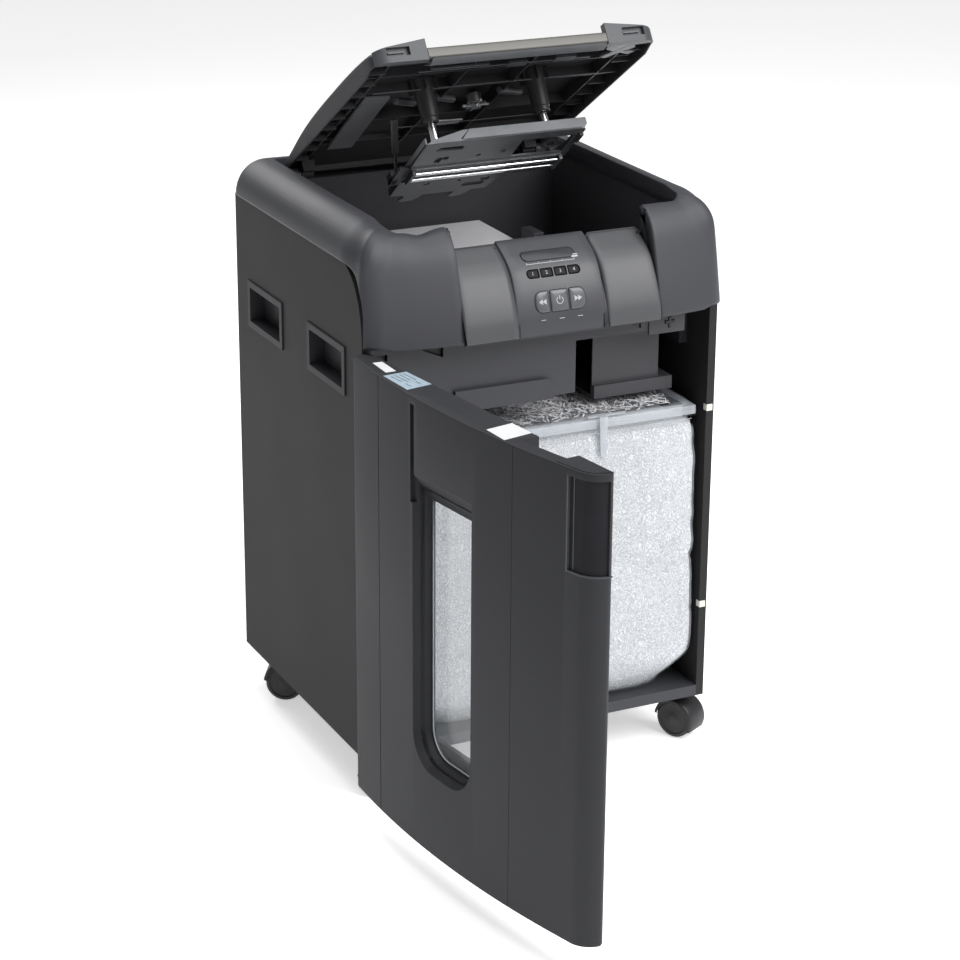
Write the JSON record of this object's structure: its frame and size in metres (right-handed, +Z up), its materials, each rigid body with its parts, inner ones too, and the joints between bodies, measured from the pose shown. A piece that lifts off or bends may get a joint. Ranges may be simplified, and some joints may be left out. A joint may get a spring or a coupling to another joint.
{
  "type": "paper shredder",
  "caption": "Upright automatic-feed paper shredder on castors with a sprung lid, a bowed windowed door, push-button panel and a pull-out waste bag frame.",
  "frame": {"origin": "centre of the cabinet footprint on the floor, under the castors", "axes": "+X to the right of a person facing the machine, +Y to the back, +Z up; the door and the control panel face -Y"},
  "size_m": [0.4778, 0.8458, 0.8828],
  "materials": {
    "cabinet_board": "fine-grained charcoal laminate",
    "charcoal_plastic": "fine-textured charcoal moulding",
    "black_plastic": "satin black moulding",
    "panel_grey": "satin mid-grey moulding",
    "lens_dark": "glossy smoked",
    "button_grey": "satin grey",
    "key_black": "satin black",
    "steel": "ground steel",
    "zinc_steel": "zinc-plated sheet",
    "brass_gear": "natural nylon",
    "motor_can": "drawn steel can",
    "board_green": "circuit board",
    "switch_red": "glossy red",
    "paper_white": "uncoated",
    "shreds": "loose shreds",
    "roller_rubber": "matt rubber",
    "frame_blue_grey": "pale blue-grey satin",
    "bag_film": "clear thin film",
    "smoked_window": "clear, smoked",
    "ivory_plastic": "satin ivory",
    "champagne": "metallic champagne",
    "plate_grey": "satin grey",
    "chrome": "polished"
  },
  "bodies": {
    "cabinet": {"base_tray": "charcoal_plastic", "left_panel": "cabinet_board", "right_panel": "cabinet_board", "back_panel": "cabinet_board", "grip_cups": "black_plastic", "shroud": "charcoal_plastic", "side_fascias": "charcoal_plastic", "control_panel": "panel_grey", "display_lens": "lens_dark", "front_apron": "charcoal_plastic", "drive_housing": "black_plastic", "latch_bracket": "charcoal_plastic", "paper_tray": "black_plastic", "paper_stack": "paper_white", "feed_belts": "roller_rubber", "cutter_combs": "black_plastic", "cutter_frame": "zinc_steel", "motor": "motor_can", "control_board": "board_green", "power_inlet": "black_plastic", "panel_screws": "steel", "bag_rails": "black_plastic", "door_catches": "ivory_plastic", "hinge_pins": "steel"},
    "lid": {"lid_shell": "charcoal_plastic", "lid_front_bar": "champagne", "lid_caps": "panel_grey"},
    "press": {"press_plate": "plate_grey", "press_rods": "chrome"},
    "door": {"door_shell": "charcoal_plastic", "door_liner": "black_plastic", "door_window": "smoked_window", "door_handle_cup": "black_plastic"},
    "bag": {"bag_frame": "frame_blue_grey", "waste_bag": "bag_film", "shredded_paper": "shreds"},
    "front_cutter": {"cutter_front": "steel", "cutter_gear_front": "brass_gear"},
    "rear_cutter": {"cutter_rear": "steel", "cutter_gear_rear": "brass_gear"},
    "pinion": {"motor_pinion": "steel"},
    "front_feed": {"feed_roller_front": "roller_rubber"},
    "rear_feed": {"feed_roller_rear": "roller_rubber"},
    "interlock": {"interlock_plunger": "black_plastic"},
    "rocker": {"power_switch": "switch_red"},
    "key_1": {"key_1": "key_black"},
    "key_2": {"key_2": "key_black"},
    "key_3": {"key_3": "key_black"},
    "key_4": {"key_4": "key_black"},
    "button_reverse": {"button_reverse": "button_grey"},
    "button_power": {"button_power": "button_grey"},
    "button_forward": {"button_forward": "button_grey"},
    "front_left_castor": {"castor_fork_fl": "black_plastic"},
    "front_left_wheels": {"castor_wheels_fl": "roller_rubber"},
    "front_right_castor": {"castor_fork_fr": "black_plastic"},
    "front_right_wheels": {"castor_wheels_fr": "roller_rubber"},
    "back_left_castor": {"castor_fork_bl": "black_plastic"},
    "back_left_wheels": {"castor_wheels_bl": "roller_rubber"},
    "back_right_castor": {"castor_fork_br": "black_plastic"},
    "back_right_wheels": {"castor_wheels_br": "roller_rubber"}
  },
  "joints": [
    {"name": "lid_hinge", "type": "hinge", "parent": "cabinet", "child": "lid", "pos_m": [0, 0.154, 0.676], "axis": [-1, 0, 0], "range_deg": [-32.7, 0]},
    {"name": "press_slide", "type": "slide", "parent": "lid", "child": "press", "axis": [0, 0.5402, 0.8415], "range_m": [0, 0.02], "stiffness_N_per_m": 300, "springref_m": -0.03},
    {"name": "door_hinge", "type": "hinge", "parent": "cabinet", "child": "door", "pos_m": [-0.2215, -0.1998, 0.3], "axis": [0, 0, -1], "range_deg": [-82, 18]},
    {"name": "bag_slide", "type": "slide", "parent": "cabinet", "child": "bag", "axis": [0, -1, 0], "range_m": [0, 0.2]},
    {"name": "front_cutter_spin", "type": "hinge", "parent": "cabinet", "child": "front_cutter", "pos_m": [0, -0.028, 0.5], "axis": [1, 0, 0], "continuous": true},
    {"name": "rear_cutter_spin", "type": "hinge", "parent": "cabinet", "child": "rear_cutter", "pos_m": [0, 0.008, 0.5], "axis": [1, 0, 0], "continuous": true},
    {"name": "pinion_spin", "type": "hinge", "parent": "cabinet", "child": "pinion", "pos_m": [0.104, 0.02, 0.5], "axis": [1, 0, 0], "continuous": true},
    {"name": "front_feed_spin", "type": "hinge", "parent": "cabinet", "child": "front_feed", "pos_m": [0, -0.05, 0.536], "axis": [1, 0, 0], "continuous": true},
    {"name": "rear_feed_spin", "type": "hinge", "parent": "cabinet", "child": "rear_feed", "pos_m": [0, 0.03, 0.536], "axis": [1, 0, 0], "continuous": true},
    {"name": "interlock_press", "type": "slide", "parent": "cabinet", "child": "interlock", "axis": [0, 1, 0], "range_m": [0, 0.004], "stiffness_N_per_m": 250, "springref_m": -0.004},
    {"name": "rocker_tilt", "type": "hinge", "parent": "cabinet", "child": "rocker", "pos_m": [0.176, 0.186, 0.4], "axis": [-1, 0, 0], "range_deg": [0, 14]},
    {"name": "key_1_press", "type": "slide", "parent": "cabinet", "child": "key_1", "axis": [0, 0.8387, -0.5446], "range_m": [0, 0.001], "stiffness_N_per_m": 800, "springref_m": -0.0015},
    {"name": "key_2_press", "type": "slide", "parent": "cabinet", "child": "key_2", "axis": [0, 0.8387, -0.5446], "range_m": [0, 0.001], "stiffness_N_per_m": 800, "springref_m": -0.0015},
    {"name": "key_3_press", "type": "slide", "parent": "cabinet", "child": "key_3", "axis": [0, 0.8387, -0.5446], "range_m": [0, 0.001], "stiffness_N_per_m": 800, "springref_m": -0.0015},
    {"name": "key_4_press", "type": "slide", "parent": "cabinet", "child": "key_4", "axis": [0, 0.8387, -0.5446], "range_m": [0, 0.001], "stiffness_N_per_m": 800, "springref_m": -0.0015},
    {"name": "button_reverse_press", "type": "slide", "parent": "cabinet", "child": "button_reverse", "axis": [0, 0.9511, -0.309], "range_m": [0, 0.002], "stiffness_N_per_m": 600, "springref_m": -0.002},
    {"name": "button_power_press", "type": "slide", "parent": "cabinet", "child": "button_power", "axis": [0, 0.9511, -0.309], "range_m": [0, 0.002], "stiffness_N_per_m": 600, "springref_m": -0.002},
    {"name": "button_forward_press", "type": "slide", "parent": "cabinet", "child": "button_forward", "axis": [0, 0.9511, -0.309], "range_m": [0, 0.002], "stiffness_N_per_m": 600, "springref_m": -0.002},
    {"name": "front_left_swivel", "type": "hinge", "parent": "cabinet", "child": "front_left_castor", "pos_m": [-0.203, -0.151, 0.062], "axis": [0, 0, 1], "continuous": true},
    {"name": "front_left_roll", "type": "hinge", "parent": "front_left_castor", "child": "front_left_wheels", "pos_m": [-0.19088, -0.158, 0.024], "axis": [0.5, 0.866, 0], "continuous": true},
    {"name": "front_right_swivel", "type": "hinge", "parent": "cabinet", "child": "front_right_castor", "pos_m": [0.203, -0.151, 0.062], "axis": [0, 0, 1], "continuous": true},
    {"name": "front_right_roll", "type": "hinge", "parent": "front_right_castor", "child": "front_right_wheels", "pos_m": [0.20957, -0.16336, 0.024], "axis": [0.8829, 0.4695, 0], "continuous": true},
    {"name": "back_left_swivel", "type": "hinge", "parent": "cabinet", "child": "back_left_castor", "pos_m": [-0.203, 0.15, 0.062], "axis": [0, 0, 1], "continuous": true},
    {"name": "back_left_roll", "type": "hinge", "parent": "back_left_castor", "child": "back_left_wheels", "pos_m": [-0.19088, 0.143, 0.024], "axis": [0.5, 0.866, 0], "continuous": true},
    {"name": "back_right_swivel", "type": "hinge", "parent": "cabinet", "child": "back_right_castor", "pos_m": [0.203, 0.15, 0.062], "axis": [0, 0, 1], "continuous": true},
    {"name": "back_right_roll", "type": "hinge", "parent": "back_right_castor", "child": "back_right_wheels", "pos_m": [0.20446, 0.13608, 0.024], "axis": [0.9945, 0.1045, 0], "continuous": true}
  ],
  "couplings": [
    {"joint": "rear_cutter_spin", "follows": "front_cutter_spin", "ratio": -1},
    {"joint": "pinion_spin", "follows": "front_cutter_spin", "ratio": -3},
    {"joint": "front_feed_spin", "follows": "front_cutter_spin", "ratio": 1},
    {"joint": "rear_feed_spin", "follows": "front_cutter_spin", "ratio": -1}
  ]
}
